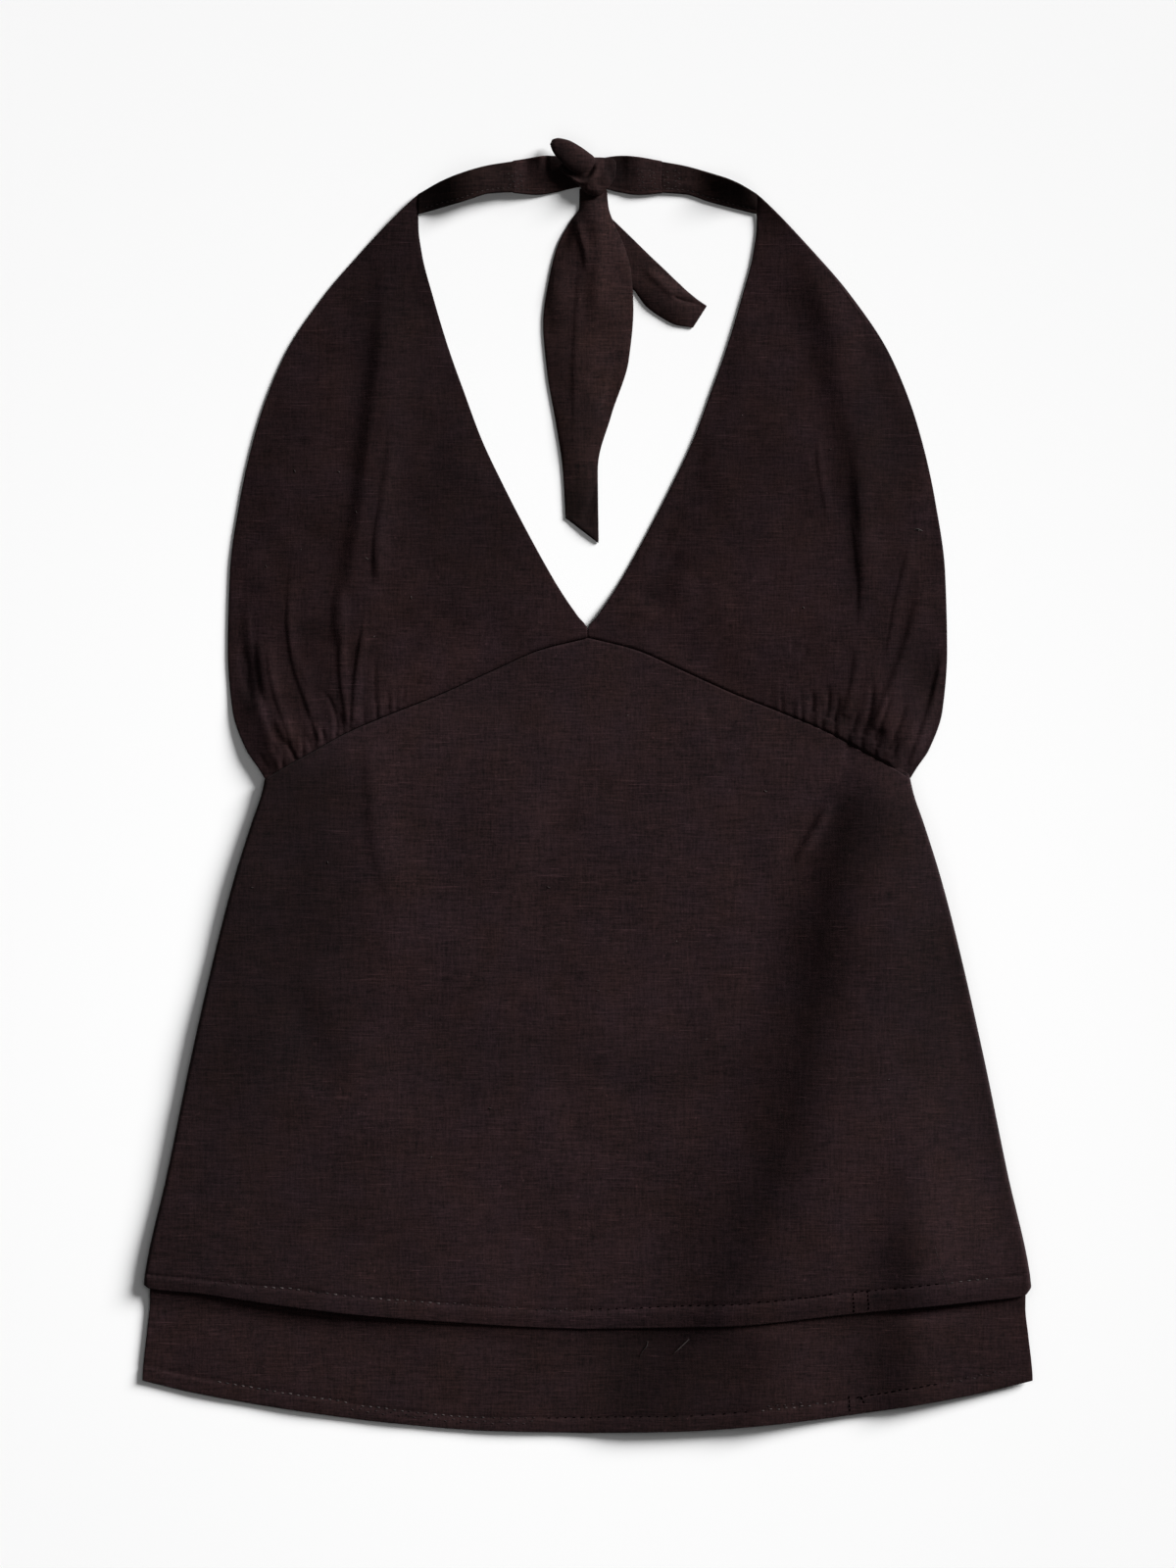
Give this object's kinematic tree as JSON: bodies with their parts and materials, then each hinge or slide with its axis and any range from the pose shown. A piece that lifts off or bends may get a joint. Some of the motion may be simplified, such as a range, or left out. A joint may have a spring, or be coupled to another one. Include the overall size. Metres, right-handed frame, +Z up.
{
  "type": "halter neck top, laid flat",
  "caption": "Halter neck top laid flat: gathered bust cups, deep V neckline, knotted neck strap with loose tails, flared double-layer skirt with curved hems.",
  "frame": {"origin": "middle of the garment's outline as it lies, at the surface that it lies on", "axes": "+X to the right as seen with the neck up, +Y from the hem to the neck, +Z up from the surface that it lies on"},
  "size_m": [0.4902, 0.7133, 0.0191],
  "materials": {
    "outer_cloth": "matt slubby linen weave, dark brown",
    "under_cloth": "matt slubby linen weave, dark brown",
    "cup_cloth": "matt slubby linen weave, dark brown",
    "strap_cloth": "matt slubby linen weave, dark brown",
    "tie_cloth": "matt slubby linen weave, dark brown"
  },
  "bodies": {
    "root": {"front_panel": "outer_cloth", "back_panel": "outer_cloth", "under_front": "under_cloth", "under_back": "under_cloth", "cup_left": "cup_cloth", "cup_right": "cup_cloth", "strap_left": "strap_cloth", "strap_right": "strap_cloth", "tie_run_left": "tie_cloth", "tie_run_right": "tie_cloth", "tie_knot": "tie_cloth", "tie_tail_long": "tie_cloth", "tie_tail_short": "tie_cloth"}
  },
  "joints": []
}
